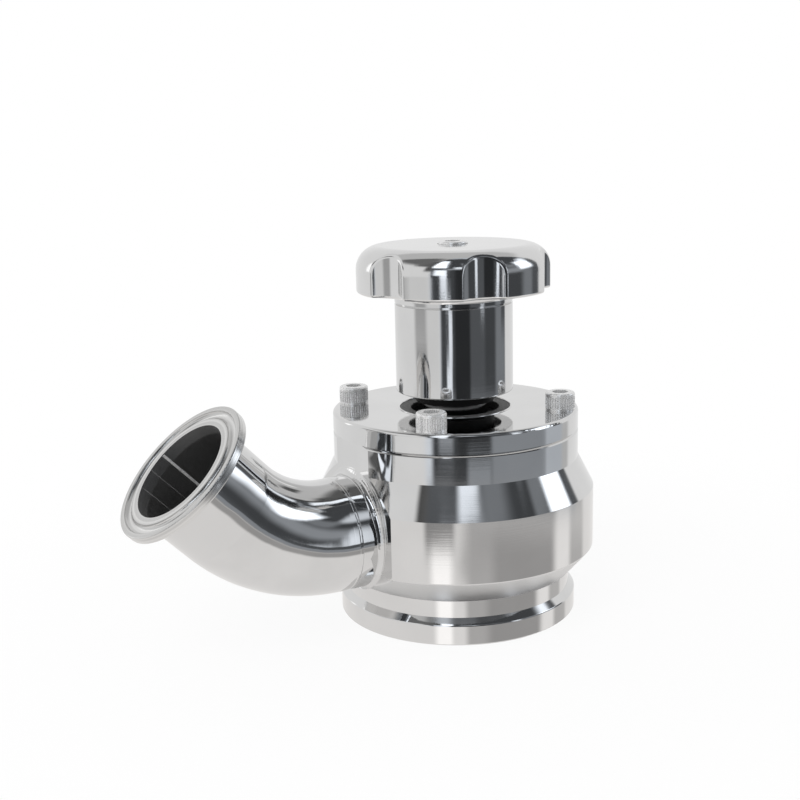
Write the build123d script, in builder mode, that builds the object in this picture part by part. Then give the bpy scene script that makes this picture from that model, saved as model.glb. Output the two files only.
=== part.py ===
from build123d import *
import os
from math import cos, radians, sin, sqrt, tan

# Manual tank bottom valve, in millimetres.
# Origin: centre of the tank flange's outer face. +Z runs from the tank flange to the handwheel.
# The outlet leaves along -X and then bends up by 46 degrees. The valve is drawn half open.

os.makedirs("parts", exist_ok=True)

# Outside of the valve body, from the tank flange upwards
flange_radius = 41.5
flange_thickness = 6.8
flange_bevel_height = 2.1
neck_radius = 39.4
neck_height = 6.0
lower_cone_radius = 40.4
lower_cone_height = 8.6
belt_radius = 47.9
belt_height = 20.6
upper_cone_height = 10.7
bonnet_radius = 42.5
rim_height = 10.2
rim_bevel = 1.2
edge_break = 0.5

bevel_top = flange_thickness + flange_bevel_height
neck_top = bevel_top + neck_height
belt_bottom = neck_top + lower_cone_height
belt_top = belt_bottom + belt_height
shoulder_top = belt_top + upper_cone_height
body_top = shoulder_top + rim_height

# Bonnet cap screws, four of them, midway between the outlet and its square directions
screw_count = 4
screw_inset = 5.9
screw_turn = 45.0
screw_radius = 3.0
screw_length = 18.0
screw_head_radius = 5.0
screw_head_height = 6.0
screw_socket_width = 5.0
screw_socket_depth = 3.2
screw_clearance = 0.3
screw_tip_gap = 1.0
screw_head_edge = 0.7
knurl_count = 36
knurl_groove_radius = 0.3
knurl_bottom = 0.7
knurl_top = 4.7

screw_circle_radius = bonnet_radius - screw_inset

# Flow passage inside the body
tank_bore_radius = 19.0
tank_bore_length = 5.0
seat_width = 6.0
chamber_wall = 11.0
throat_width = 8.0
throat_length = 8.0
diaphragm_pocket_depth = 3.0
pocket_screw_wall = 4.4

seat_radius = tank_bore_radius + seat_width
seat_top = tank_bore_length + seat_width
chamber_radius = belt_radius - chamber_wall
diaphragm_pocket_radius = screw_circle_radius - pocket_screw_wall
throat_radius = tank_bore_radius + throat_width
pocket_floor = body_top - diaphragm_pocket_depth
throat_bottom = pocket_floor - throat_length

# Outlet: flat on the body, stub, tube bend and clamp ferrule
outlet_flat_distance = 41.1
outlet_flat_edge = 0.6
tube_radius = 19.05
tube_wall = 1.5
stub_length = 7.5
weld_bead = 1.2
bend_straight = 2.3
bend_radius = 50.0
bend_angle = 46.0
ferrule_length = 21.5
ferrule_radius = 25.25
ferrule_rim_thickness = 2.8
ferrule_back_angle = 20.0
gasket_groove_radius = 21.8
gasket_groove_half_width = 1.6
gasket_groove_depth = 1.3
weld_bevel = 0.3
ferrule_edge_radius = 0.4

tube_bore_radius = tube_radius - tube_wall
outlet_height = belt_bottom + belt_height / 2
stub_end = outlet_flat_distance + stub_length
bend_start = stub_end + bend_straight
bend_end = Vector(
    -bend_start - bend_radius * sin(radians(bend_angle)),
    0,
    outlet_height + bend_radius * (1 - cos(radians(bend_angle))),
)
outlet_direction = Vector(-cos(radians(bend_angle)), 0, sin(radians(bend_angle)))
outlet_radial = Vector(sin(radians(bend_angle)), 0, cos(radians(bend_angle)))

# Bonnet: cover plate, neck and lower guide boss
plate_thickness = 6.6
plate_edge_radius = 1.2
bonnet_neck_radius = 11.4
bonnet_neck_height = 24.2
guide_bore_radius = 9.0
guide_boss_radius = 14.0
guide_boss_length = 7.2

plate_top = body_top + plate_thickness
neck_end = plate_top + bonnet_neck_height
boss_bottom = body_top - guide_boss_length

# Bumper ring under the skirt: a flange let into the plate, and a cup below it that lines the recess
bumper_radius = 19.1
bumper_sink = 0.2
bumper_thickness = 2.2
bumper_bore_radius = 15.3
bumper_cup_wall = 0.9
bumper_cup_depth = 4.2
bumper_cup_gap = 0.1

bumper_top = plate_top - bumper_sink
bumper_seat = bumper_top - bumper_thickness
recess_floor = plate_top - bumper_cup_depth
recess_radius = bumper_bore_radius + bumper_cup_wall

# Lift of the stem: how far the valve closes and opens from the drawn position
closing_travel = 5.0
opening_travel = 5.0

# Fits
thread_gap = 0.02
press_gap = 0.02
running_gap = 0.05
soft_gap = 0.05
stop_gap = 0.5

# Plug and its seal
plug_bore_gap = 0.5
plug_cone_gap = 0.4
plug_recess = 1.0
plug_cone_width = 5.0
plug_rim_height = 1.4
plug_hub_radius = 8.5
plug_hub_start = 7.0
plug_shoulder_radius = 11.0
plug_shoulder_height = 2.0
plug_shoulder_flare = 2.5
plug_length = 38.0
plug_stud_radius = 4.0
plug_stud_length = 9.5
plug_seal_section = 1.8
plug_seal_proud = 0.3
plug_tool_width = 6.0
plug_tool_depth = 3.0

plug_bottom = plug_recess + closing_travel
plug_top = plug_bottom + plug_length
plug_nose_radius = tank_bore_radius - plug_bore_gap
plug_radius = plug_nose_radius + plug_cone_width
# Height of the plug's cone above its radius, at the drawn lift
cone_offset = tank_bore_length - tank_bore_radius + plug_cone_gap * sqrt(2) + closing_travel

# Diaphragm: a cup that hangs from its clamped rim
diaphragm_thickness = 1.9
diaphragm_wall_gap = 0.6
diaphragm_corner_radius = 8.0
diaphragm_rim_gap = 0.1

cup_radius = throat_radius - diaphragm_wall_gap
cup_bottom = plug_top + soft_gap
rim_outer_radius = diaphragm_pocket_radius - diaphragm_rim_gap
rim_bottom = pocket_floor + soft_gap
rim_top = body_top - soft_gap

# Compressor: backs the diaphragm, and its hub is guided in the bonnet
compressor_side_gap = 0.7
compressor_thickness = 6.4
compressor_hub_length = 22.0
compressor_floor = 7.5
stud_hole_relief = 0.5

compressor_bottom = cup_bottom + diaphragm_thickness + soft_gap
compressor_top = compressor_bottom + compressor_thickness
compressor_radius = cup_radius - diaphragm_thickness - compressor_side_gap
hub_radius = guide_bore_radius - running_gap
hub_top = compressor_top + compressor_hub_length
hub_bore_floor = compressor_top + compressor_floor

# Feather key between hub and bonnet
key_width = 3.0
key_height = 2.0
key_length = 12.0
key_top_gap = 2.0
key_side_gap = 0.05

key_outer_radius = hub_radius + key_height / 2
key_inner_radius = hub_radius - key_height / 2
key_top = hub_top - key_top_gap
key_bottom = key_top - key_length

# Spindle with a trapezoidal thread of 3 mm pitch, drawn as its outside diameter
spindle_radius = 6.0
spindle_square = 8.4
spindle_square_length = 17.0
spindle_chamfer = 0.6
thrust_pad_thickness = 2.0
pin_radius = 1.25
pin_groove_radius = 4.0
pin_height = 6.0
pin_end_gap = 0.3

spindle_bottom = hub_bore_floor + thrust_pad_thickness
pin_level = spindle_bottom + pin_height
pin_offset = pin_groove_radius + pin_radius + running_gap

# Stem nut, pressed into the bonnet's neck
nut_length = 16.0
nut_flange_height = 2.0
nut_pin_radius = 0.75
nut_pin_length = 5.0
nut_seal_section = 0.75
nut_seal_depth = 4.0

nut_bottom = neck_end - nut_length
nut_top = neck_end + nut_flange_height
nut_pin_circle = (bonnet_neck_radius + guide_bore_radius) / 2
nut_bore_radius = spindle_radius + running_gap
nut_seal_radius = nut_bore_radius + nut_seal_section
nut_seal_level = nut_top - nut_seal_depth

# Skirt sleeve and the guide bush inside it
skirt_radius = 20.2
skirt_wall = 4.0
skirt_length = 30.6
skirt_lift = 6.0
skirt_groove = 0.4
bush_nose_radius = 13.7
bush_nose_length = 3.5
bush_collar_setback = 1.5
bush_collar_length = 12.5

skirt_bottom = plate_top + skirt_lift
skirt_top = skirt_bottom + skirt_length
skirt_bore_radius = skirt_radius - skirt_wall
bush_bore_radius = bonnet_neck_radius + running_gap
bush_bottom = skirt_bottom - bush_nose_length
bush_step = skirt_bottom + bush_collar_setback
bush_top = bush_step + bush_collar_length

# Handwheel
wheel_radius = 33.1
wheel_hub_height = 3.9
wheel_height = 15.7
wheel_crown_radius = 8.0
wheel_hub_fillet = 2.4
wheel_spigot_length = 4.4
flute_count = 6
flute_radius = 11.6
flute_depth = 3.3
flute_turn = 15.0
flute_edge_radius = 1.6
wheel_edge_radius = 0.9
square_gap = 0.05

wheel_bottom = skirt_top + wheel_hub_height
wheel_top = wheel_bottom + wheel_height
spigot_bottom = skirt_top - wheel_spigot_length
spindle_shoulder = spigot_bottom - stop_gap
spindle_top = spigot_bottom + spindle_square_length

# Handwheel screw
wheel_screw_length = 16.0
wheel_screw_head_proud = 0.9
wheel_screw_bore_gap = 0.2

counterbore_floor = wheel_top + wheel_screw_head_proud - screw_head_height


def circles_of(part, radius):
    """Circular edges of a part that have the given radius."""
    round_edges = part.edges().filter_by(GeomType.CIRCLE)
    return round_edges.filter_by(lambda edge: abs(edge.radius - radius) < 0.001)


def section(*points):
    """Half section of a turned piece, from an outline of (radius, height) points."""
    with BuildSketch(Plane.XZ) as half_section:
        with BuildLine():
            Polyline(*points, close=True)
        make_face()
    return half_section.sketch


# Valve body: tank flange, neck, cones and belt in one piece, with seat, chamber and outlet stub
with BuildPart() as valve_body:
    revolve(
        section(
            (0, 0),
            (flange_radius, 0),
            (flange_radius, flange_thickness),
            (neck_radius, bevel_top),
            (neck_radius, neck_top),
            (lower_cone_radius, neck_top),
            (belt_radius, belt_bottom),
            (belt_radius, belt_top),
            (bonnet_radius, shoulder_top),
            (bonnet_radius, body_top - rim_bevel),
            (bonnet_radius - rim_bevel, body_top),
            (0, body_top),
        ),
        axis=Axis.Z,
    )
    fillet(circles_of(valve_body.part, flange_radius), edge_break)
    with BuildSketch(Plane.YZ.offset(-outlet_flat_distance)):
        with Locations((0, (neck_top + body_top) / 2)):
            Rectangle(2 * belt_radius, body_top - neck_top)
    extrude(amount=outlet_flat_distance - belt_radius, mode=Mode.SUBTRACT)
    outlet_flat = valve_body.faces().sort_by(Axis.X)[0]
    flat_rim = outlet_flat.outer_wire().edges().sort_by(Axis.Z)
    fillet(flat_rim[:-1], outlet_flat_edge)
    with BuildSketch(Plane.YZ.offset(-stub_end)):
        with Locations((0, outlet_height)):
            Circle(tube_radius)
    extrude(amount=stub_end)
    chamfer(valve_body.edges().sort_by(Axis.X)[0], weld_bevel)
    with BuildSketch(Plane.YZ.offset(-outlet_flat_distance)):
        with Locations((0, outlet_height)):
            Circle(tube_radius + weld_bead)
    extrude(amount=weld_bead)
    with BuildSketch(Plane.YZ.offset(-outlet_flat_distance)):
        with Locations((0, outlet_height)):
            Circle(tube_radius + weld_bead)
    extrude(amount=-weld_bead, taper=45)
    with BuildSketch(Plane.XZ):
        with BuildLine():
            Polyline(
                (0, 0),
                (tank_bore_radius, 0),
                (tank_bore_radius, tank_bore_length),
                (seat_radius, seat_top),
                (chamber_radius, belt_bottom),
                (chamber_radius, belt_top),
                (throat_radius, throat_bottom),
                (throat_radius, pocket_floor),
                (diaphragm_pocket_radius, pocket_floor),
                (diaphragm_pocket_radius, body_top),
                (0, body_top),
                close=True,
            )
        make_face()
    revolve(axis=Axis.Z, mode=Mode.SUBTRACT)
    with BuildSketch(Plane.YZ.offset(-stub_end)):
        with Locations((0, outlet_height)):
            Circle(tube_bore_radius)
    extrude(amount=stub_end, mode=Mode.SUBTRACT)
    with BuildSketch(Plane.XY.offset(body_top)):
        with PolarLocations(screw_circle_radius, screw_count, start_angle=screw_turn):
            Circle(screw_radius + thread_gap)
    extrude(amount=-(screw_length - plate_thickness + screw_tip_gap), mode=Mode.SUBTRACT)

# Outlet bend: a short straight end, welded to the stub, and the bend itself
with BuildPart() as outlet_elbow:
    with BuildSketch(Plane.YZ.offset(-bend_start)):
        with Locations((0, outlet_height)):
            Circle(tube_radius)
            Circle(tube_bore_radius, mode=Mode.SUBTRACT)
    revolve(
        axis=Axis((-bend_start, 0, outlet_height + bend_radius), (0, 1, 0)),
        revolution_arc=bend_angle,
    )
    with BuildSketch(Plane.YZ.offset(-stub_end)):
        with Locations((0, outlet_height)):
            Circle(tube_radius)
            Circle(tube_bore_radius, mode=Mode.SUBTRACT)
    extrude(amount=-bend_straight)
    welded_end = outlet_elbow.faces().sort_by(Axis.X)[-1]
    chamfer(circles_of(welded_end, tube_radius), weld_bevel)

# Clamp ferrule: tube end, sloped back, rim and gasket groove
ferrule_plane = Plane(origin=bend_end, x_dir=outlet_radial, z_dir=(0, -1, 0))
ferrule_axis = Axis(bend_end, outlet_direction)
rim_back = ferrule_length - ferrule_rim_thickness
rim_root = rim_back - (ferrule_radius - tube_radius) * tan(radians(ferrule_back_angle))
with BuildPart() as outlet_ferrule:
    with BuildSketch(ferrule_plane):
        with BuildLine():
            Polyline(
                (tube_bore_radius, 0),
                (tube_radius, 0),
                (tube_radius, rim_root),
                (ferrule_radius, rim_back),
                (ferrule_radius, ferrule_length),
                (tube_bore_radius, ferrule_length),
                close=True,
            )
        make_face()
        with Locations((gasket_groove_radius, ferrule_length)):
            Ellipse(gasket_groove_half_width, gasket_groove_depth, mode=Mode.SUBTRACT)
    revolve(axis=ferrule_axis)
    fillet(circles_of(outlet_ferrule.part, ferrule_radius), ferrule_edge_radius)

# Diaphragm: clamped rim, hanging wall, rounded corner and a flat bottom with the stud's hole
with BuildPart() as diaphragm:
    with BuildSketch(Plane.XZ):
        with BuildLine():
            Polyline(
                (plug_stud_radius + soft_gap, cup_bottom),
                (cup_radius, cup_bottom),
                (cup_radius, rim_bottom),
                (rim_outer_radius, rim_bottom),
                (rim_outer_radius, rim_top),
                (cup_radius - diaphragm_thickness, rim_top),
                (cup_radius - diaphragm_thickness, cup_bottom + diaphragm_thickness),
                (plug_stud_radius + soft_gap, cup_bottom + diaphragm_thickness),
                close=True,
            )
        make_face()
    revolve(axis=Axis.Z)
    lower_circles = circles_of(diaphragm.part, cup_radius).group_by(Axis.Z)[0]
    fillet(lower_circles, diaphragm_corner_radius)
    inner_circles = circles_of(diaphragm.part, cup_radius - diaphragm_thickness).group_by(Axis.Z)[0]
    fillet(inner_circles, diaphragm_corner_radius - diaphragm_thickness)

# Bonnet: cover plate with the guided neck above it and a guide boss below it
with BuildPart() as bonnet_plate:
    revolve(
        section(
            (guide_bore_radius, boss_bottom),
            (guide_boss_radius, boss_bottom),
            (guide_boss_radius, body_top),
            (bonnet_radius, body_top),
            (bonnet_radius, plate_top),
            (bumper_radius, plate_top),
            (bumper_radius, bumper_seat),
            (recess_radius, bumper_seat),
            (recess_radius, recess_floor),
            (bonnet_neck_radius, recess_floor),
            (bonnet_neck_radius, neck_end),
            (guide_bore_radius, neck_end),
        ),
        axis=Axis.Z,
    )
    fillet(circles_of(bonnet_plate.part, bonnet_radius).sort_by(Axis.Z)[-1], plate_edge_radius)
    with BuildSketch(Plane.XY.offset(plate_top)):
        with PolarLocations(screw_circle_radius, screw_count, start_angle=screw_turn):
            Circle(screw_radius + screw_clearance)
    extrude(amount=-plate_thickness, mode=Mode.SUBTRACT)
    with BuildSketch(Plane.XY.offset(boss_bottom)):
        with Locations((key_outer_radius / 2 + key_side_gap, 0)):
            Rectangle(key_outer_radius, key_width + 2 * key_side_gap)
    extrude(amount=nut_bottom - boss_bottom, mode=Mode.SUBTRACT)
    with BuildSketch(Plane.XY.offset(neck_end)):
        with Locations((0, nut_pin_circle)):
            Circle(nut_pin_radius + press_gap)
    extrude(amount=-(nut_pin_length - nut_flange_height + press_gap), mode=Mode.SUBTRACT)

# Bonnet cap screws with hexagon sockets and straight knurls round their heads
with BuildPart() as bonnet_screws:
    with BuildSketch(Plane.XY.offset(plate_top)):
        with PolarLocations(screw_circle_radius, screw_count, start_angle=screw_turn):
            Circle(screw_head_radius)
    extrude(amount=screw_head_height)
    fillet(bonnet_screws.edges().group_by(Axis.Z)[-1], screw_head_edge)
    with BuildSketch(Plane.XY.offset(plate_top + knurl_bottom)):
        with PolarLocations(screw_circle_radius, screw_count, start_angle=screw_turn):
            with PolarLocations(screw_head_radius, knurl_count):
                Circle(knurl_groove_radius)
    extrude(amount=knurl_top - knurl_bottom, mode=Mode.SUBTRACT)
    with BuildSketch(Plane.XY.offset(plate_top)):
        with PolarLocations(screw_circle_radius, screw_count, start_angle=screw_turn):
            Circle(screw_radius)
    extrude(amount=-screw_length)
    with BuildSketch(Plane.XY.offset(plate_top + screw_head_height)):
        with PolarLocations(screw_circle_radius, screw_count, start_angle=screw_turn):
            RegularPolygon(screw_socket_width / 2, 6, major_radius=False)
    extrude(amount=-screw_socket_depth, mode=Mode.SUBTRACT)

# Bumper ring, set into the cover plate under the skirt, with its cup round the bonnet's neck
with BuildPart() as bumper_ring:
    revolve(
        section(
            (bumper_bore_radius, bumper_top),
            (bumper_radius - press_gap, bumper_top),
            (bumper_radius - press_gap, bumper_seat),
            (recess_radius - press_gap, bumper_seat),
            (recess_radius - press_gap, recess_floor),
            (bonnet_neck_radius + bumper_cup_gap, recess_floor),
            (bonnet_neck_radius + bumper_cup_gap, recess_floor + bumper_cup_wall),
            (bumper_bore_radius, recess_floor + bumper_cup_wall),
        ),
        axis=Axis.Z,
    )

# Stem nut with a flange on the neck and a groove for the spindle's seal
with BuildPart() as stem_nut:
    revolve(
        section(
            (nut_bore_radius, nut_bottom),
            (guide_bore_radius - press_gap, nut_bottom),
            (guide_bore_radius - press_gap, neck_end),
            (bonnet_neck_radius, neck_end),
            (bonnet_neck_radius, nut_top),
            (nut_bore_radius, nut_top),
        ),
        axis=Axis.Z,
    )
    with BuildSketch(Plane.XZ):
        with Locations((nut_seal_radius, nut_seal_level)):
            Rectangle(2 * (nut_seal_section + soft_gap), 2 * (nut_seal_section + soft_gap))
    revolve(axis=Axis.Z, mode=Mode.SUBTRACT)
    with BuildSketch(Plane.XY.offset(nut_top)):
        with Locations((0, nut_pin_circle)):
            Circle(nut_pin_radius + press_gap)
    extrude(amount=-nut_flange_height, mode=Mode.SUBTRACT)

# Dowel that keeps the stem nut from turning
with BuildPart() as stem_nut_pin:
    with BuildSketch(Plane.XY.offset(nut_top)):
        with Locations((0, nut_pin_circle)):
            Circle(nut_pin_radius)
    extrude(amount=-nut_pin_length)

# O-ring around the spindle, in the stem nut
with BuildPart() as spindle_seal:
    with BuildSketch(Plane.XZ):
        with Locations((nut_seal_radius, nut_seal_level)):
            Circle(nut_seal_section)
    revolve(axis=Axis.Z)

# Centre of the plug seal's section, so that the seal stands proud of the plug's cone
seal_contact_radius = plug_nose_radius + plug_cone_width / 2
seal_sink = (plug_seal_section - plug_seal_proud) / sqrt(2)
seal_radius = seal_contact_radius - seal_sink
seal_level = seal_contact_radius + cone_offset + seal_sink

# Plug: nose, cone with the seal's groove, hub, shoulder and stud
with BuildPart() as valve_plug:
    with BuildSketch(Plane.XZ):
        with BuildLine():
            outline = Polyline(
                (0, plug_bottom),
                (plug_nose_radius, plug_bottom),
                (plug_nose_radius, plug_nose_radius + cone_offset),
                (plug_radius, plug_radius + cone_offset),
                (plug_radius, plug_radius + cone_offset + plug_rim_height),
                (plug_hub_radius, plug_radius + cone_offset + plug_hub_start),
                (plug_hub_radius, plug_top - plug_shoulder_height - plug_shoulder_flare),
                (plug_shoulder_radius, plug_top - plug_shoulder_height),
                (plug_shoulder_radius, plug_top),
                (plug_stud_radius, plug_top),
                (plug_stud_radius, plug_top + plug_stud_length),
                (0, plug_top + plug_stud_length),
                close=True,
            )
        make_face()
        with Locations((seal_radius, seal_level)):
            Circle(plug_seal_section + soft_gap, mode=Mode.SUBTRACT)
    revolve(axis=Axis.Z)
    with BuildSketch(Plane.XY.offset(plug_bottom)):
        RegularPolygon(plug_tool_width / 2, 6, major_radius=False)
    extrude(amount=plug_tool_depth, mode=Mode.SUBTRACT)

# Plug seal: an O-ring in the plug's cone
with BuildPart() as plug_seal:
    with BuildSketch(Plane.XZ):
        with Locations((seal_radius, seal_level)):
            Circle(plug_seal_section)
    revolve(axis=Axis.Z)

# Compressor: disc behind the diaphragm, with a guided hub that carries the spindle's end
with BuildPart() as compressor:
    revolve(
        section(
            (0, compressor_bottom),
            (compressor_radius, compressor_bottom),
            (compressor_radius, compressor_top),
            (hub_radius, compressor_top),
            (hub_radius, hub_top),
            (nut_bore_radius, hub_top),
            (nut_bore_radius, hub_bore_floor),
            (0, hub_bore_floor),
        ),
        axis=Axis.Z,
    )
    disc_circles = circles_of(compressor.part, compressor_radius).sort_by(Axis.Z)
    fillet(disc_circles[0], compressor_thickness - edge_break)
    with BuildSketch(Plane.XY.offset(compressor_bottom)):
        Circle(plug_stud_radius + thread_gap)
    extrude(
        amount=plug_top + plug_stud_length - compressor_bottom + stud_hole_relief,
        mode=Mode.SUBTRACT,
    )
    with BuildSketch(Plane.XY.offset(key_bottom - key_side_gap)):
        with Locations((key_inner_radius + key_height / 2 - press_gap, 0)):
            Rectangle(key_height, key_width + 2 * press_gap)
    extrude(amount=key_length + 2 * key_side_gap, mode=Mode.SUBTRACT)
    with BuildSketch(Plane.YZ.offset(-hub_radius)):
        with Locations((-pin_offset, pin_level), (pin_offset, pin_level)):
            Circle(pin_radius + press_gap)
    extrude(amount=2 * hub_radius, mode=Mode.SUBTRACT)

# Feather key: stops the compressor from turning with the spindle
with BuildPart() as feather_key:
    with BuildSketch(Plane.XY.offset(key_bottom)):
        with Locations((key_inner_radius + key_height / 2, 0)):
            Rectangle(key_height, key_width)
    extrude(amount=key_length)

# Thrust pad under the spindle's end
with BuildPart() as thrust_pad:
    with BuildSketch(Plane.XY.offset(hub_bore_floor)):
        Circle(spindle_radius)
    extrude(amount=thrust_pad_thickness)

# Two cross pins that run in the spindle's groove
pin_half_length = sqrt(hub_radius**2 - (pin_offset + pin_radius) ** 2) - pin_end_gap
with BuildPart() as retaining_pins:
    with BuildSketch(Plane.YZ.offset(-pin_half_length)):
        with Locations((-pin_offset, pin_level), (pin_offset, pin_level)):
            Circle(pin_radius)
    extrude(amount=2 * pin_half_length)

# Spindle: pin groove, threaded length, square end and the tapped hole for the handwheel screw
pin_groove_half_width = pin_radius + running_gap
with BuildPart() as spindle:
    revolve(
        section(
            (0, spindle_bottom),
            (spindle_radius - spindle_chamfer, spindle_bottom),
            (spindle_radius, spindle_bottom + spindle_chamfer),
            (spindle_radius, pin_level - pin_groove_half_width),
            (pin_groove_radius, pin_level - pin_groove_half_width),
            (pin_groove_radius, pin_level + pin_groove_half_width),
            (spindle_radius, pin_level + pin_groove_half_width),
            (spindle_radius, spindle_shoulder - spindle_chamfer),
            (spindle_radius - spindle_chamfer, spindle_shoulder),
            (0, spindle_shoulder),
        ),
        axis=Axis.Z,
    )
    with BuildSketch(Plane.XY.offset(spindle_shoulder)):
        Rectangle(spindle_square, spindle_square)
    extrude(amount=spindle_top - spindle_shoulder)
    with BuildSketch(Plane.XY.offset(spindle_top)):
        Circle(screw_radius + thread_gap)
    extrude(
        amount=-(spindle_top - counterbore_floor + wheel_screw_length + screw_tip_gap),
        mode=Mode.SUBTRACT,
    )

# Skirt sleeve that covers the bonnet's neck and rises with the handwheel
with BuildPart() as skirt_sleeve:
    with BuildSketch(Plane.XY.offset(skirt_bottom)):
        Circle(skirt_radius)
        Circle(skirt_bore_radius, mode=Mode.SUBTRACT)
    extrude(amount=skirt_length)
    fillet(circles_of(skirt_sleeve.part, skirt_radius).sort_by(Axis.Z)[0], edge_break)
    chamfer(circles_of(skirt_sleeve.part, skirt_radius).sort_by(Axis.Z)[-1], skirt_groove)

# Guide bush: black plastic, pressed into the skirt, sliding on the bonnet's neck
with BuildPart() as guide_bush:
    revolve(
        section(
            (bush_bore_radius, bush_bottom),
            (bush_nose_radius, bush_bottom),
            (bush_nose_radius, bush_step),
            (skirt_bore_radius - press_gap, bush_step),
            (skirt_bore_radius - press_gap, bush_top),
            (bush_bore_radius, bush_top),
        ),
        axis=Axis.Z,
    )

# Handwheel: crowned disc with six flutes, hub, spigot for the skirt and a square hole
with BuildPart() as handwheel:
    with BuildSketch(Plane.XZ):
        with BuildLine():
            Polyline(
                (0, spigot_bottom),
                (skirt_bore_radius - press_gap, spigot_bottom),
                (skirt_bore_radius - press_gap, skirt_top),
                (skirt_radius - skirt_groove, skirt_top),
                (skirt_radius, skirt_top + skirt_groove),
                (skirt_radius, wheel_bottom),
                (wheel_radius, wheel_bottom),
                (wheel_radius, wheel_top - wheel_crown_radius),
            )
            crown = JernArc(
                (wheel_radius, wheel_top - wheel_crown_radius), (0, 1), wheel_crown_radius, 90
            )
            Polyline(crown @ 1, (0, wheel_top), (0, spigot_bottom))
        make_face()
    revolve(axis=Axis.Z)
    hub_corner = circles_of(handwheel.part, skirt_radius).sort_by(Axis.Z)[-1]
    fillet(hub_corner, wheel_hub_fillet)
    smooth_edges = handwheel.edges()
    with BuildSketch(Plane.XY.offset(wheel_bottom)):
        with PolarLocations(
            wheel_radius - flute_depth + flute_radius, flute_count, start_angle=flute_turn
        ):
            Circle(flute_radius)
    extrude(amount=wheel_height, mode=Mode.SUBTRACT)
    flute_edges = handwheel.edges() - smooth_edges
    fillet(flute_edges.filter_by(lambda edge: edge.center().Z > wheel_bottom + 0.01), flute_edge_radius)
    foot_faces = handwheel.faces().filter_by_position(Axis.Z, wheel_bottom - 0.01, wheel_bottom + 0.01)
    rim_foot = foot_faces.sort_by(SortBy.AREA)[-1]
    fillet(rim_foot.outer_wire().edges(), wheel_edge_radius)
    with BuildSketch(Plane.XY.offset(spigot_bottom)):
        Rectangle(spindle_square + 2 * square_gap, spindle_square + 2 * square_gap)
    extrude(amount=spindle_square_length + stop_gap, mode=Mode.SUBTRACT)
    with BuildSketch(Plane.XY.offset(wheel_top)):
        Circle(screw_radius + wheel_screw_bore_gap)
    extrude(amount=-(wheel_top - spindle_top), mode=Mode.SUBTRACT)
    with BuildSketch(Plane.XY.offset(wheel_top)):
        Circle(screw_head_radius + wheel_screw_bore_gap)
    extrude(amount=counterbore_floor - wheel_top, mode=Mode.SUBTRACT)

# Screw that holds the handwheel on the spindle, with the same head as the bonnet's screws
with BuildPart() as handwheel_screw:
    with BuildSketch(Plane.XY.offset(counterbore_floor)):
        Circle(screw_head_radius)
    extrude(amount=screw_head_height)
    fillet(handwheel_screw.edges().group_by(Axis.Z)[-1], screw_head_edge)
    with BuildSketch(Plane.XY.offset(counterbore_floor + knurl_bottom)):
        with PolarLocations(screw_head_radius, knurl_count):
            Circle(knurl_groove_radius)
    extrude(amount=knurl_top - knurl_bottom, mode=Mode.SUBTRACT)
    with BuildSketch(Plane.XY.offset(counterbore_floor)):
        Circle(screw_radius)
    extrude(amount=-wheel_screw_length)
    with BuildSketch(Plane.XY.offset(counterbore_floor + screw_head_height)):
        RegularPolygon(screw_socket_width / 2, 6, major_radius=False)
    extrude(amount=-screw_socket_depth, mode=Mode.SUBTRACT)

finished = {
    "valve_body": valve_body,
    "outlet_elbow": outlet_elbow,
    "outlet_ferrule": outlet_ferrule,
    "diaphragm": diaphragm,
    "bonnet_plate": bonnet_plate,
    "bonnet_screws": bonnet_screws,
    "bumper_ring": bumper_ring,
    "stem_nut": stem_nut,
    "stem_nut_pin": stem_nut_pin,
    "spindle_seal": spindle_seal,
    "valve_plug": valve_plug,
    "plug_seal": plug_seal,
    "compressor": compressor,
    "feather_key": feather_key,
    "thrust_pad": thrust_pad,
    "retaining_pins": retaining_pins,
    "spindle": spindle,
    "skirt_sleeve": skirt_sleeve,
    "guide_bush": guide_bush,
    "handwheel": handwheel,
    "handwheel_screw": handwheel_screw,
}
for node_name, builder in finished.items():
    builder.part.label = node_name
    export_step(builder.part, f"parts/{node_name}.step")
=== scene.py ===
from math import cos, degrees, pi, radians, sin

import bpy
import numpy as np
from mathutils import Matrix, Vector


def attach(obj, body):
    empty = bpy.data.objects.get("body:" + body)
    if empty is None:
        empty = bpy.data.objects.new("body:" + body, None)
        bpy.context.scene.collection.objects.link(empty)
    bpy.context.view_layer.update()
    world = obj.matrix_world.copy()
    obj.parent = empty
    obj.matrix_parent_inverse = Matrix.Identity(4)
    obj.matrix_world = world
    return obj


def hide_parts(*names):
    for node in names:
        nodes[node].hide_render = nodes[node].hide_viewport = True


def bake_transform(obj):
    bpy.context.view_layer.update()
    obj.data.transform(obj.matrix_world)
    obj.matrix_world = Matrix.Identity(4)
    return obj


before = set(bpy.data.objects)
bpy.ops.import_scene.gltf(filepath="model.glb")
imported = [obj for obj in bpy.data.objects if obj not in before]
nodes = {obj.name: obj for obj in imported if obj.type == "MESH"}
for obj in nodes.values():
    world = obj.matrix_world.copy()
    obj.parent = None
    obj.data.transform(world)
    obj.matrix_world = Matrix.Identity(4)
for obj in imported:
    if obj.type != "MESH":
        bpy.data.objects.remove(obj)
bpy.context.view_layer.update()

# The camera's place, in metres and degrees, as fitted to the photograph
CAMERA_AZIMUTH = -123.0
CAMERA_DISTANCE = 0.4189
CAMERA_HEIGHT = 0.1655
CAMERA_PITCH = 12.344
CAMERA_YAW = -2.612
CAMERA_ROLL = -1.345
CAMERA_LENS = 55.38

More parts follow.
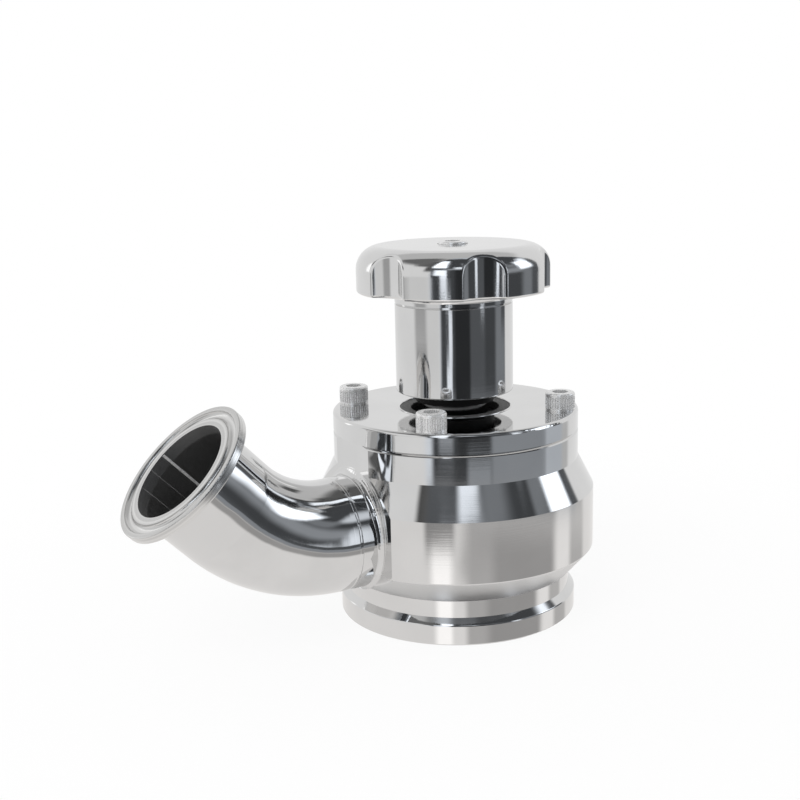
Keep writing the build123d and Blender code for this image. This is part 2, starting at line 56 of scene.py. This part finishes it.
# The outlet, in metres and degrees, as in the part: tube axis, bend and ferrule
OUTLET_HEIGHT = 0.0338
OUTLET_FLAT = 0.0411
STUB_END = 0.0486
BEND_START = 0.0509
BEND_RADIUS = 0.050
BEND_ANGLE = radians(46.0)
TUBE_RADIUS = 0.01905
BORE_RADIUS = 0.01755
FERRULE_LENGTH = 0.0215
BEND_END = np.array((
    -BEND_START - BEND_RADIUS * sin(BEND_ANGLE),
    0.0,
    OUTLET_HEIGHT + BEND_RADIUS * (1 - cos(BEND_ANGLE)),
))
FERRULE_WAY = np.array((-cos(BEND_ANGLE), 0.0, sin(BEND_ANGLE)))
FERRULE_SIDE = np.array((sin(BEND_ANGLE), 0.0, cos(BEND_ANGLE)))


class Wire:
    """A value in a node tree. Sums of wires and numbers make Math nodes."""

    def __init__(self, tree, socket):
        self.tree = tree
        self.socket = socket

    def maths(self, operation, first, second=0.0, third=0.0):
        return node(self.tree, "ShaderNodeMath", {"operation": operation}, {0: first, 1: second, 2: third})

    def __add__(self, other):
        return self.maths("ADD", self, other)

    def __radd__(self, other):
        return self.maths("ADD", other, self)

    def __sub__(self, other):
        return self.maths("SUBTRACT", self, other)

    def __rsub__(self, other):
        return self.maths("SUBTRACT", other, self)

    def __mul__(self, other):
        return self.maths("MULTIPLY", self, other)

    def __rmul__(self, other):
        return self.maths("MULTIPLY", other, self)

    def root(self):
        return self.maths("SQRT", self)

    def step(self, low, high):
        """0 below low, 1 above high, smooth between them."""
        return node(
            self.tree,
            "ShaderNodeMapRange",
            {"interpolation_type": "SMOOTHSTEP"},
            {"Value": self, "From Min": low, "From Max": high},
        )

    def band(self, low, high, soft):
        """1 between low and high, with soft flanks."""
        return self.step(low - soft, low + soft) * (1 - self.step(high - soft, high + soft))


def node(tree, kind, settings, values, out=0):
    """Adds a node with its settings, fills or links its inputs, and returns one output as a Wire."""
    made = tree.nodes.new(kind)
    for key, value in settings.items():
        setattr(made, key, value)
    for key, value in values.items():
        if isinstance(value, Wire):
            tree.links.new(value.socket, made.inputs[key])
        else:
            made.inputs[key].default_value = value
    return Wire(tree, made.outputs[out] if made.outputs else None)


def new_material(name):
    """An empty material and its node tree."""
    material = bpy.data.materials.new(name)
    material.use_nodes = True
    material.node_tree.nodes.clear()
    return material, material.node_tree


def mix_colour(tree, factor, first, second):
    """First colour at factor 0, second at 1. Either may be a Wire."""
    return node(
        tree, "ShaderNodeMix", {"data_type": "RGBA"}, {"Factor": factor, 6: first, 7: second}, out=2
    )


def grey(value, tint=(1.0, 1.0, 1.0)):
    return (*[value * part for part in tint], 1.0)


def places(tree):
    """Object coordinates, whole and as x, y and z."""
    whole = node(tree, "ShaderNodeTexCoord", {}, {}, out="Object")
    split = [node(tree, "ShaderNodeSeparateXYZ", {}, {"Vector": whole}, out=axis) for axis in "XYZ"]
    return whole, *split


def noise(tree, vector, scale, detail=2.0):
    return node(tree, "ShaderNodeTexNoise", {}, {"Vector": vector, "Scale": scale, "Detail": detail})


def rings(tree, along, across, fineness):
    """Noise that changes only with the distance from an axis and along it: marks left by a lathe."""
    spot = node(tree, "ShaderNodeCombineXYZ", {}, {"X": across * fineness, "Y": along * fineness, "Z": 0.0})
    return noise(tree, spot, 1.0, 3.0)


def finish_metal(tree, colour, rough, height, distance, metal=1.0):
    """Metal shader with a bump whose height is given in parts of distance. Brushed metal, which
    scatters light, is given as less than wholly metal."""
    bump = node(tree, "ShaderNodeBump", {}, {"Strength": 1.0, "Distance": distance, "Height": height})
    shader = node(
        tree,
        "ShaderNodeBsdfPrincipled",
        {},
        {"Base Color": colour, "Roughness": rough, "Metallic": metal, "Normal": bump},
    )
    node(tree, "ShaderNodeOutputMaterial", {}, {"Surface": shader})


def turned_steel(name, tint, roughness, wave, lines, speckle=0.0):
    """Polished steel turned about the Z axis: faint lathe rings, slow waves left by hand polishing,
    a cloudy haze and sparse dull spots, satin in the undercut over the flange, where no wheel
    reaches. Wave, lines and speckle are the heights of their bumps."""
    material, tree = new_material(name)
    whole, x, y, z = places(tree)
    radius = (x * x + y * y).root()
    haze = noise(tree, whole, 55.0, 3.0)
    marks = rings(tree, z, radius, 4200.0)
    waves = noise(tree, whole, 24.0, 1.0)
    ripple = noise(tree, whole, 150.0, 1.0)
    grain = noise(tree, whole, 2600.0, 1.0)
    undercut = z.band(0.0150, 0.0233, 0.0002)
    colour = mix_colour(tree, haze.step(0.3, 0.7), grey(0.95, tint), grey(1.0, tint))
    rough = roughness * (1 + haze.step(0.35, 0.75) + marks.step(0.5, 0.8)) + 0.02 * grain.step(0.6, 0.75)
    rough = rough + 0.28 * undercut
    height = wave * (waves + 0.03 * ripple) + lines * marks + speckle * grain
    finish_metal(tree, colour, rough, height, 0.0001)
    return material


def drawn_tube_steel(name, tint, roughness, from_axis, along):
    """Polished tube with slow waves and fine lines round it, and a dull bore whose darker colour is painted shade
    inside the tube. from_axis(x, y, z) and along(x, y, z) give the distance from the tube's axis and the place
    along it."""
    material, tree = new_material(name)
    whole, x, y, z = places(tree)
    distance = from_axis(x, y, z)
    unshaded_outside = distance.step(BORE_RADIUS + 0.00002, BORE_RADIUS + 0.00008)
    haze = noise(tree, whole, 60.0, 3.0)
    waves = noise(tree, whole, 75.0, 1.0)
    ripple = noise(tree, whole, 280.0, 1.0)
    marks = rings(tree, along(x, y, z), distance, 3600.0)
    bright = mix_colour(tree, haze.step(0.3, 0.7), grey(0.94, tint), grey(1.0, tint))
    # the bore's grey 0.42 is painted shade inside the tube; its added roughness is its dull finish
    colour = mix_colour(tree, unshaded_outside, grey(0.42), bright)
    rough = roughness * (1 + haze.step(0.4, 0.7) + marks.step(0.5, 0.8)) + (1 - unshaded_outside) * 0.42
    height = 1.4 * waves + 0.08 * ripple + 0.02 * marks
    finish_metal(tree, colour, rough, height, 0.0001)
    return material


def bend_distance(x, y, z):
    """Distance from the bend's curved axis: a circle in the XZ plane about the bend's centre."""
    across = x + BEND_START
    rise = z - (OUTLET_HEIGHT + BEND_RADIUS)
    off = (across * across + rise * rise).root() - BEND_RADIUS
    return (off * off + y * y).root()


def bend_along(x, y, z):
    """Place along the bend: the turn about its centre, times its radius."""
    rise = OUTLET_HEIGHT + BEND_RADIUS - z
    return x.maths("ARCTAN2", -1.0 * x - BEND_START, rise) * BEND_RADIUS


def ferrule_along(x, y, z):
    """Place along the ferrule's straight axis, from the bend's end."""
    return (x - BEND_END[0]) * FERRULE_WAY[0] + (z - BEND_END[2]) * FERRULE_WAY[2]


def ferrule_distance(x, y, z):
    """Distance from the ferrule's straight axis."""
    off = (x - BEND_END[0]) * FERRULE_SIDE[0] + (z - BEND_END[2]) * FERRULE_SIDE[2]
    return (off * off + y * y).root()


def ferrule_steel():
    """The ferrule: polished tube, rings left by the lathe on its face and rim, and a dull bore whose darker colour
    is painted shade inside the tube.
    """
    material, tree = new_material("ferrule_steel")
    whole, x, y, z = places(tree)
    distance = ferrule_distance(x, y, z)
    along = ferrule_along(x, y, z)
    unshaded_outside = distance.step(BORE_RADIUS + 0.00002, BORE_RADIUS + 0.00008)
    rim = along.step(FERRULE_LENGTH - 0.0045, FERRULE_LENGTH - 0.0035)
    haze = noise(tree, whole, 60.0, 3.0)
    waves = noise(tree, whole, 75.0, 1.0)
    coarse = rings(tree, along, distance, 1100.0)
    fine = rings(tree, along, distance, 5200.0)
    bright = mix_colour(tree, coarse.step(0.35, 0.65), grey(0.60, STEEL_TINT), grey(0.74, STEEL_TINT))
    plain = mix_colour(tree, haze, grey(0.94, STEEL), grey(1.0, STEEL))
    # grey 0.42 in the bore is painted shade inside the tube
    colour = mix_colour(tree, unshaded_outside, grey(0.42), mix_colour(tree, rim, plain, bright))
    rough = 0.045 + rim * (0.11 + 0.10 * fine) + (1 - unshaded_outside) * 0.38
    height = (1 - rim) * 1.4 * waves + rim * (0.35 * coarse + 0.08 * fine)
    finish_metal(tree, colour, rough, height, 0.0001)
    return material


def knurled_steel():
    """Cap screws: dull brushed steel with fine upright scratches."""
    material, tree = new_material("knurled_steel")
    whole, x, y, z = places(tree)
    stretched = node(tree, "ShaderNodeMapping", {}, {"Vector": whole, "Scale": (1500.0, 1500.0, 260.0)})
    scratches = noise(tree, stretched, 1.0, 2.0)
    grain = noise(tree, whole, 2400.0, 2.0)
    colour = mix_colour(tree, scratches.step(0.3, 0.7), grey(0.77), grey(0.85))
    rough = 0.24 + 0.08 * grain
    finish_metal(tree, colour, rough, 0.02 * scratches, 0.0001, metal=0.62)
    return material


def seam_painted_highlight():
    """The weld seam in the bore and two thinner lines beside it: light grey and little metal, so their brightness
    is a painted highlight of a narrow light along the bore. Small dull spots lie on them.
    """
    material, tree = new_material("seam_painted_highlight")
    whole, x, y, z = places(tree)
    grain = noise(tree, whole, 1300.0, 3.0)
    # grey 0.9 with little metal is a painted highlight; the 0.6 flecks are small dull spots
    colour = mix_colour(tree, grain.step(0.4, 0.7), grey(0.9), grey(0.6))
    finish_metal(tree, colour, 0.3 + 0.1 * grain, 0.1 * grain, 0.0001, metal=0.3)
    return material


def satin_steel():
    """Inner turned pieces: even satin steel with lathe rings."""
    material, tree = new_material("satin_steel")
    whole, x, y, z = places(tree)
    marks = rings(tree, z, (x * x + y * y).root(), 3000.0)
    haze = noise(tree, whole, 90.0, 3.0)
    colour = mix_colour(tree, haze, grey(0.56), grey(0.66))
    finish_metal(tree, colour, 0.22 + 0.12 * marks, 0.05 * marks, 0.0001)
    return material


def turned_bronze():
    """Bronze of the stem nut and the thrust pad, with tool marks and a brown haze."""
    material, tree = new_material("turned_bronze")
    whole, x, y, z = places(tree)
    marks = rings(tree, z, (x * x + y * y).root(), 2600.0)
    haze = noise(tree, whole, 140.0, 4.0)
    colour = mix_colour(tree, haze.step(0.3, 0.75), (0.62, 0.40, 0.17, 1), (0.42, 0.25, 0.10, 1))
    finish_metal(tree, colour, 0.26 + 0.16 * haze, 0.06 * marks, 0.0001)
    return material


def moulded(name, dark, light, roughness, scale, relief, shine=0.5):
    """Moulded plastic, rubber or elastomer: two tones of a fine grain, in colour and surface."""
    material, tree = new_material(name)
    whole, x, y, z = places(tree)
    grain = noise(tree, whole, scale, 3.0)
    cloud = noise(tree, whole, 0.06 * scale, 2.0)
    colour = mix_colour(tree, 0.5 * grain + 0.5 * cloud, dark, light)
    bump = node(tree, "ShaderNodeBump", {}, {"Strength": 1.0, "Distance": relief, "Height": grain})
    shader = node(
        tree,
        "ShaderNodeBsdfPrincipled",
        {},
        {
            "Base Color": colour,
            "Roughness": roughness + 0.15 * grain,
            "Specular IOR Level": shine,
            "Normal": bump,
        },
    )
    node(tree, "ShaderNodeOutputMaterial", {}, {"Surface": shader})
    return material


def ring_rubber():
    """The bumper ring: pitted grey upper face; the near-black below it, down the recess, is painted shade."""
    material, tree = new_material("ring_rubber")
    whole, x, y, z = places(tree)
    upper = z.step(0.0709, 0.0713)
    pits = noise(tree, whole, 1500.0, 3.0)
    # below the upper face, grey 0.008 is painted shade of the deep recess; the pitted grey above is the ring's own
    # tone
    colour = mix_colour(
        tree, upper, grey(0.008), mix_colour(tree, pits.step(0.35, 0.7), grey(0.045), grey(0.20))
    )
    bump = node(tree, "ShaderNodeBump", {}, {"Strength": 1.0, "Distance": 0.00012, "Height": pits})
    shader = node(
        tree, "ShaderNodeBsdfPrincipled", {}, {"Base Color": colour, "Roughness": 0.42 + 0.2 * pits, "Normal": bump}
    )
    node(tree, "ShaderNodeOutputMaterial", {}, {"Surface": shader})
    return material


STEEL = (0.716, 0.715, 0.713)
STEEL_TINT = (1.0, 0.995, 0.985)


def surface_mesh(name, grid, closed):
    """A solid skin from a grid of points (rows, columns, 3). Its columns close round. Its rows close
    round too, or else both ends get a cap. Faces point outwards: the volume's sign is looked at."""
    rows, columns = grid.shape[:2]
    points = grid.reshape(-1, 3)
    index = np.arange(rows * columns).reshape(rows, columns)
    index = np.concatenate((index, index[:, :1]), axis=1)
    if closed:
        index = np.concatenate((index, index[:1]), axis=0)
    quads = np.stack((index[:-1, :-1], index[1:, :-1], index[1:, 1:], index[:-1, 1:]), axis=-1).reshape(-1, 4)
    faces = quads.tolist()
    if not closed:
        faces += [index[0, :-1].tolist(), index[-1, -2::-1].tolist()]
    a, b, c, d = np.moveaxis(points[quads] - points.mean(axis=0), 1, 0)
    if np.sum(a * np.cross(b, c)) + np.sum(a * np.cross(c, d)) < 0:
        faces = [face[::-1] for face in faces]
    mesh = bpy.data.meshes.new(name)
    mesh.from_pydata(points.tolist(), [], faces)
    mesh.shade_smooth()
    mesh.update()
    return mesh


def add_piece(mesh, body, material):
    """Puts a finished mesh into the scene, riding on a body."""
    piece = bpy.data.objects.new(mesh.name, mesh)
    bpy.context.scene.collection.objects.link(piece)
    mesh.materials.append(material)
    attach(piece, body)
    return piece


def root_weld(material):
    """Weld that fills the corner between stub and body. Its section is a hollow quarter circle from
    the tube's wall to the body's flat, closed behind by two straight sides inside the metal. It is
    carried round the tube's circle. Its size falls from the top to the bottom of the tube, where the
    neck leaves little room, and ripples lie across it, once for each step that the torch made."""
    turn = np.linspace(0, 2 * pi, 1200, endpoint=False)[:, None]
    size = 0.0019 + 0.0009 * np.cos(turn) + 0.00006 * np.sin(5 * turn) + 0.00005 * np.sin(11 * turn)
    arc = np.linspace(0, pi / 2, 12)[None, :]
    ripple = 0.000006 * np.cos(96 * turn + 1.4 * np.sin(2 * arc)) * np.sin(2 * arc)
    out = size * (1 - np.sin(arc)) + ripple
    off = size * (1 - np.cos(arc)) + ripple
    whole_out = np.concatenate((out, 0 * turn - 0.0006, 0 * turn - 0.0006, size), axis=1)
    whole_off = np.concatenate((off, size, 0 * turn - 0.0006, 0 * turn - 0.0006), axis=1)
    reach = TUBE_RADIUS + whole_out
    grid = np.stack((
        -OUTLET_FLAT - whole_off,
        reach * np.sin(turn),
        OUTLET_HEIGHT + reach * np.cos(turn),
    ), axis=-1)
    return add_piece(surface_mesh("root_weld", grid, True), "housing", material)


def bend_weld(material):
    """Flush weld where the bend meets the stub: a low arched ring that fills the joint's bevel."""
    turn = np.linspace(0, 2 * pi, 360, endpoint=False)[:, None]
    across = np.linspace(-1, 1, 13)[None, :]
    height = 0.00007 * (1 - across**4) - 0.00012 * across**8 + 0.00001 * np.sin(60 * turn) * (1 - across**2)
    reach = TUBE_RADIUS + height
    grid = np.stack((
        -STUB_END + 0.0007 * across + 0 * turn,
        reach * np.sin(turn),
        OUTLET_HEIGHT + reach * np.cos(turn),
    ), axis=-1)
    back = np.stack((
        -STUB_END + 0.0007 * across[:, ::-1] + 0 * turn,
        (TUBE_RADIUS - 0.0004) * np.sin(turn) + 0 * across,
        OUTLET_HEIGHT + (TUBE_RADIUS - 0.0004) * np.cos(turn) + 0 * across,
    ), axis=-1)
    whole = np.concatenate((grid, back), axis=1)
    return add_piece(surface_mesh("bend_weld", whole, True), "housing", material)


def bore_highlight_strip(name, angle, width, height, material):
    """Lengthwise strip in the ferrule's bore that carries a painted highlight: a low rounded strip along the bore's
    wall, its section an arch over the wall and a chord behind it, its height wandering a little along the way."""
    along = np.linspace(0.0004, FERRULE_LENGTH - 0.0004, 90)[:, None]
    side = np.concatenate((np.linspace(-1, 1, 9), np.linspace(1, -1, 5)))[None, :]
    inward = np.concatenate((1 - np.linspace(-1, 1, 9) ** 2, np.full(5, -0.3)))[None, :]
    swell = 1 + 0.12 * np.sin(900 * along) + 0.08 * np.sin(2300 * along + 1)
    ends = np.minimum(1, np.minimum(along, FERRULE_LENGTH - along) / 0.0012)
    turn = radians(angle) + side * width / 2 / BORE_RADIUS
    reach = BORE_RADIUS - height * inward * swell * ends
    point = (
        BEND_END
        + along[..., None] * FERRULE_WAY
        + (reach * np.cos(turn))[..., None] * FERRULE_SIDE
        + (reach * np.sin(turn))[..., None] * np.array((0.0, 1.0, 0.0))
    )
    mesh = surface_mesh(name, point, False)
    return add_piece(mesh, "housing", material)


def opening_lip(material):
    """Rounded edge of the opening in the bonnet plate: a small half round that is carried round the
    valve's axis and stands a little above the plate."""
    turn = np.linspace(0, 2 * pi, 256, endpoint=False)[:, None]
    round_lip = np.linspace(0, 2 * pi, 12, endpoint=False)[None, :]
    reach = 0.01945 + 0.00035 * np.cos(round_lip)
    grid = np.stack((
        reach * np.cos(turn),
        reach * np.sin(turn),
        0.07155 + 0.00035 * np.sin(round_lip) + 0 * turn,
    ), axis=-1)
    return add_piece(surface_mesh("opening_lip", grid, True), "housing", material)


def soft_diaphragm(material):
    """Diaphragm in the valve: a section of clamped rim, upright wall, quarter round corner and flat floor, carried
    round the valve's axis."""
    turn = np.linspace(0, 2 * pi, 144, endpoint=False)[:, None]
    hole, corner_centre, outer_corner, inner_corner = 0.00405, 0.0184, 0.0080, 0.0061
    corner_height, rim_bottom, rim_top, rim_radius = 0.05205, 0.06205, 0.06495, 0.0321
    bend = np.linspace(0, pi / 2, 10)
    wall = np.linspace(corner_height, rim_bottom, 16)[1:]
    outer = corner_centre + outer_corner
    inner = corner_centre + inner_corner
    reach = np.concatenate((
        [hole], corner_centre + outer_corner * np.sin(bend), np.full(15, outer), [rim_radius, rim_radius, inner],
        np.full(15, inner), corner_centre + inner_corner * np.sin(bend[::-1]), [hole],
    ))[None, :]
    level = np.concatenate((
        [corner_height - outer_corner], corner_height - outer_corner * np.cos(bend), wall,
        [rim_bottom, rim_top, rim_top], wall[::-1], corner_height - inner_corner * np.cos(bend[::-1]),
        [corner_height - inner_corner],
    ))[None, :]
    grid = np.stack((reach * np.cos(turn), reach * np.sin(turn), level + 0 * turn), axis=-1)
    mesh = surface_mesh("soft_diaphragm", grid, True)
    piece = bpy.data.objects.new(mesh.name, mesh)
    bpy.context.scene.collection.objects.link(piece)
    mesh.materials.append(material)
    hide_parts("diaphragm")
    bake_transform(piece)
    return piece


# What polished metal sees of the studio: softboxes, windows and dark screens. Directions are degrees
# to the right of the camera as seen from the valve, and degrees above the horizon. Each patch is laid
# over those before it, with its own softness at the sides and at its top and bottom.
STUDIO_WALL = 0.86
STUDIO = [
    # from, to, lowest, highest, brightness, softness at the sides, softness above and below
    (-200, 200, 46, 99, 0.60, 10, 4),  # ceiling
    (-200, 200, -99, -17, 0.86, 4, 1.5),  # table
    (-26, 116, -13, 72, 0.07, 3, 1),  # dark room in front, to the right
    (-21, 116, -17.2, -13, 0.06, 3, 0.7),  # the lower part of it
    (-36, -22, 24, 72, 0.10, 3, 6),  # its slanted left side
    (-56, -30, 44, 72, 0.12, 7, 6),  # higher up
    (-34, 66, 62, 86, 0.07, 8, 5),  # dark ceiling over the camera
    (-104, -40, 50, 84, 0.17, 8, 6),  # and to the left of it
    (48, 104, 3, 20, 0.34, 8, 6),  # dim haze over the room's right side
    (31, 62, -13, 8, 0.11, 5, 2),  # grey pillar
    (88, 116, -13, 10, 0.24, 5, 2),  # grey wall at the far right
    (104, 116, -9, 12, 0.10, 3, 1),  # and the door in it
    (33, 90, -17.5, -12.8, 0.31, 3, 0.8),  # pale screen low at the right
    (90, 128, -17.5, -12.8, 0.56, 4, 0.8),  # and its bright end
    (11, 33, -17.5, -15.1, 0.34, 3, 0.35),  # its low foot
    (2, 31, -15.0, 30, 0.03, 3, 0.4),  # black cloth beside the camera
    (8, 88, -26, -17.5, 0.39, 6, 2),  # shade on the table
    (2, 30, -26, -19, 0.52, 6, 2),  # its paler corner
    (90, 108, -27, -17.5, 0.98, 5, 2),  # glare on the table at the right
    (108, 130, -27, -17.5, 0.55, 4, 2),  # shade beyond it
    (-26, -2, -19.2, -16.5, 0.32, 3, 0.7),  # table edge under the strip light
    (-21, -4, -34, -19.2, 1.32, 4, 0.8),  # glare on the table
    (-4, 9, -34, -21, 0.92, 4, 1.2),  # its tail
    (-19, 5, -16.3, -15.1, 0.06, 3, 0.3),  # black edge under the strip light
    (-15, -2, -14.9, -13.1, 0.38, 2.5, 0.4),  # dim end of the strip light
    (-14, -4, -12.9, -10.6, 1.1, 2, 0.3),  # its foot, which leans to the right
    (-9.5, -3, -10.5, -7.9, 1.1, 1.3, 0.3),
    (-15, -7.5, -7.7, 10, 1.25, 2, 0.3),
    (-22, -8, 6, 34, 1.5, 3, 4),  # strip light, left of the camera
    (-27, -8, 40, 74, 1.9, 3, 3),  # its tall upper part
    (-30, 1, 30, 38, 0.12, 3, 2),  # bar across it
    (2, 23, 35, 43, 1.15, 4, 1.5),  # shelf light over the camera
    (-14, 27, 31.5, 35, 0.42, 4, 1.2),  # under the shelf
    (9, 14, 28, 34.8, 0.10, 2, 0.8),
    (23, 48, 30, 43, 0.24, 8, 4),  # the shelf's fading end
    (14, 20, 44, 62, 0.25, 3, 3),  # reflex on the ceiling
    (53, 61, -7.8, 26, 1.1, 2, 0.8),  # narrow tube light
    (62, 73, 32, 50, 0.8, 4, 4),  # lit doorway
    (71, 86, 22, 32, 0.24, 3, 3),  # grey edge of the window
    (86, 108, 12, 37, 2.0, 3, 4),  # bright window at the right
    (100, 112, 30, 42, 1.4, 5, 4),  # upper half of the window
    (110, 118, 10, 34, 0.12, 2, 3),  # window frame
    (-58, -27, -12, 0, 0.76, 6, 2),  # soft shade on the left wall
    (-81, -55, -10, -2, 0.42, 5, 2),  # grey screen at the left
    (-78, -54, -12.8, -10, 0.24, 4, 0.8),  # darker below
    (-88, -58, -15.2, -12.8, 0.11, 2, 0.5),  # its black foot
    (-98, -72, 18, 29, 0.15, 4, 3),  # high bar at the left
    (-122, -114, 0, 22, 1.5, 3, 3),  # narrow strip light at the left
]
WORLD_LIGHT = 0.7


def make_world():
    """White for the camera, soft even light for matt surfaces, and a studio of lights and dark screens
    for metal, cooler in the dark room and warmer over the table."""
    world = bpy.data.worlds.new("studio")
    bpy.context.scene.world = world
    world.use_nodes = True
    tree = world.node_tree
    tree.nodes.clear()
    way = node(tree, "ShaderNodeTexCoord", {}, {}, out="Generated")
    turn = radians(CAMERA_AZIMUTH)
    dot = {"operation": "DOT_PRODUCT"}
    front = node(tree, "ShaderNodeVectorMath", dot, {0: way, 1: (cos(turn), sin(turn), 0)}, out="Value")
    right = node(tree, "ShaderNodeVectorMath", dot, {0: way, 1: (-sin(turn), cos(turn), 0)}, out="Value")
    up = node(tree, "ShaderNodeSeparateXYZ", {}, {"Vector": way}, out="Z")
    bearing = front.maths("ARCTAN2", right, front) * degrees(1)
    height = up.maths("ARCSINE", up) * degrees(1)
    light = STUDIO_WALL
    for start, end, low, high, brightness, soft_side, soft_level in STUDIO:
        mask = bearing.band(start, end, soft_side) * height.band(low, high, soft_level)
        light = light + mask * (brightness - light)
    warm = mix_colour(tree, height.step(-18, -15), (1.02, 1.0, 0.985, 1), (1.0, 1.0, 1.0, 1))
    cool = bearing.band(-27, 116, 4) * height.step(-18, -16)
    tinted = mix_colour(tree, cool, warm, (0.93, 0.985, 1.06, 1))
    rays = tree.nodes.new("ShaderNodeLightPath")
    camera_ray = Wire(tree, rays.outputs["Is Camera Ray"])
    glossy_ray = Wire(tree, rays.outputs["Is Glossy Ray"])
    strength = WORLD_LIGHT + glossy_ray * (light - WORLD_LIGHT)
    strength = strength + camera_ray * (1 - strength)
    colour = mix_colour(tree, glossy_ray, (1, 1, 1, 1), tinted)
    background = node(tree, "ShaderNodeBackground", {}, {"Color": colour, "Strength": strength})
    node(tree, "ShaderNodeOutputWorld", {}, {"Surface": background})


def make_floor():
    """A pale floor that fades out round the valve, nearly white to the camera where no shadow falls.
    Polished metal sees the studio instead."""
    mesh = bpy.data.meshes.new("floor")
    size = 1.2
    mesh.from_pydata([(-size, -size, 0), (size, -size, 0), (size, size, 0), (-size, size, 0)], [], [(0, 1, 2, 3)])
    floor = bpy.data.objects.new("floor", mesh)
    bpy.context.scene.collection.objects.link(floor)
    material, tree = new_material("floor_white")
    whole, x, y, z = places(tree)
    far = (x * x + y * y).root().step(0.06, 0.26)
    matt = node(tree, "ShaderNodeBsdfDiffuse", {}, {"Color": (0.92, 0.92, 0.92, 1)})
    clear = node(tree, "ShaderNodeBsdfTransparent", {}, {})
    rays = tree.nodes.new("ShaderNodeLightPath")
    camera_ray = Wire(tree, rays.outputs["Is Camera Ray"])
    see_through = camera_ray * (0.92 + 0.08 * far)
    blend = node(tree, "ShaderNodeMixShader", {}, {"Fac": see_through, 1: matt, 2: clear})
    node(tree, "ShaderNodeOutputMaterial", {}, {"Surface": blend})
    mesh.materials.append(material)
    floor.visible_glossy = False


def make_camera():
    """The photograph's camera, turned from the photograph's frame into the part's."""
    pitch, yaw, roll = radians(CAMERA_PITCH), radians(CAMERA_YAW), radians(CAMERA_ROLL)
    forward = Vector((sin(yaw) * cos(pitch), cos(yaw) * cos(pitch), -sin(pitch)))
    right = Vector((cos(yaw), -sin(yaw), 0))
    up = right.cross(forward)
    right, up = cos(roll) * right + sin(roll) * up, cos(roll) * up - sin(roll) * right
    turn = Matrix.Rotation(radians(CAMERA_AZIMUTH + 90), 4, "Z")
    place = Matrix((
        (right.x, up.x, -forward.x, 0),
        (right.y, up.y, -forward.y, -CAMERA_DISTANCE),
        (right.z, up.z, -forward.z, CAMERA_HEIGHT),
        (0, 0, 0, 1),
    ))
    data = bpy.data.cameras.new("camera")
    data.lens = CAMERA_LENS
    data.sensor_width = 36.0
    data.clip_start = 0.01
    camera = bpy.data.objects.new("camera", data)
    camera.matrix_world = turn @ place
    bpy.context.scene.collection.objects.link(camera)
    bpy.context.scene.camera = camera


def softbox(name, place, size, power):
    """A square softbox that points at the middle of the valve. Metal doesn't see it."""
    data = bpy.data.lights.new(name, "AREA")
    data.size = size
    data.energy = power
    lamp = bpy.data.objects.new(name, data)
    lamp.location = place
    lamp.rotation_mode = "QUATERNION"
    lamp.rotation_quaternion = (Vector(place) - Vector((-0.02, 0, 0.06))).to_track_quat("Z", "Y")
    lamp.visible_glossy = False
    bpy.context.scene.collection.objects.link(lamp)


make_camera()
make_world()
make_floor()
softbox("key", (-0.9, -0.5, 1.1), 0.9, 8.0)

body_steel = turned_steel("body_steel", STEEL, 0.035, wave=1.3, lines=0.02)
plate_steel = turned_steel("plate_steel", STEEL, 0.035, wave=0.5, lines=0.02)
sleeve_steel = turned_steel("sleeve_steel", STEEL, 0.04, wave=0.9, lines=0.02)
wheel_steel = turned_steel("wheel_steel", STEEL, 0.048, wave=1.0, lines=0.02, speckle=0.03)
bend_steel = drawn_tube_steel("bend_steel", STEEL, 0.035, bend_distance, bend_along)
face_steel = ferrule_steel()
screw_steel = knurled_steel()
satin = satin_steel()
bronze = turned_bronze()
black_plastic = moulded("black_plastic", grey(0.006), grey(0.014), 0.45, 900.0, 0.00003, shine=0.15)
black_rubber = moulded("black_rubber", grey(0.012), grey(0.03), 0.55, 1200.0, 0.00006)
white_elastomer = moulded("white_elastomer", grey(0.72), grey(0.84, (1.0, 0.99, 0.95)), 0.40, 700.0, 0.00003)
ring = ring_rubber()

finishes = {
    "valve_body": body_steel,
    "outlet_elbow": bend_steel,
    "outlet_ferrule": face_steel,
    "diaphragm": white_elastomer,
    "bonnet_plate": plate_steel,
    "bonnet_screws": screw_steel,
    "bumper_ring": ring,
    "stem_nut": bronze,
    "stem_nut_pin": satin,
    "spindle_seal": black_rubber,
    "valve_plug": satin,
    "plug_seal": white_elastomer,
    "compressor": satin,
    "feather_key": satin,
    "thrust_pad": bronze,
    "retaining_pins": satin,
    "spindle": satin,
    "skirt_sleeve": sleeve_steel,
    "guide_bush": black_plastic,
    "handwheel": wheel_steel,
    "handwheel_screw": screw_steel,
}
for name, cad in nodes.items():
    for slot in cad.material_slots:
        slot.material = finishes[name]

root_weld(body_steel)
opening_lip(body_steel)
soft_diaphragm(white_elastomer)
bend_weld(bend_steel)
# The seam and the two thin lines beside it are bright strips: their brightness is a painted highlight of a narrow
# light in the bore, and the thin lines are nothing but that highlight.
painted_highlight = seam_painted_highlight()
bore_highlight_strip("bore_highlight_strip", 85, 0.0009, 0.00012, painted_highlight)
bore_highlight_strip("bore_highlight_low", 127, 0.00010, 0.00004, painted_highlight)
bore_highlight_strip("bore_highlight_mid", 105, 0.00007, 0.00003, painted_highlight)

bpy.context.scene.view_settings.view_transform = "Standard"
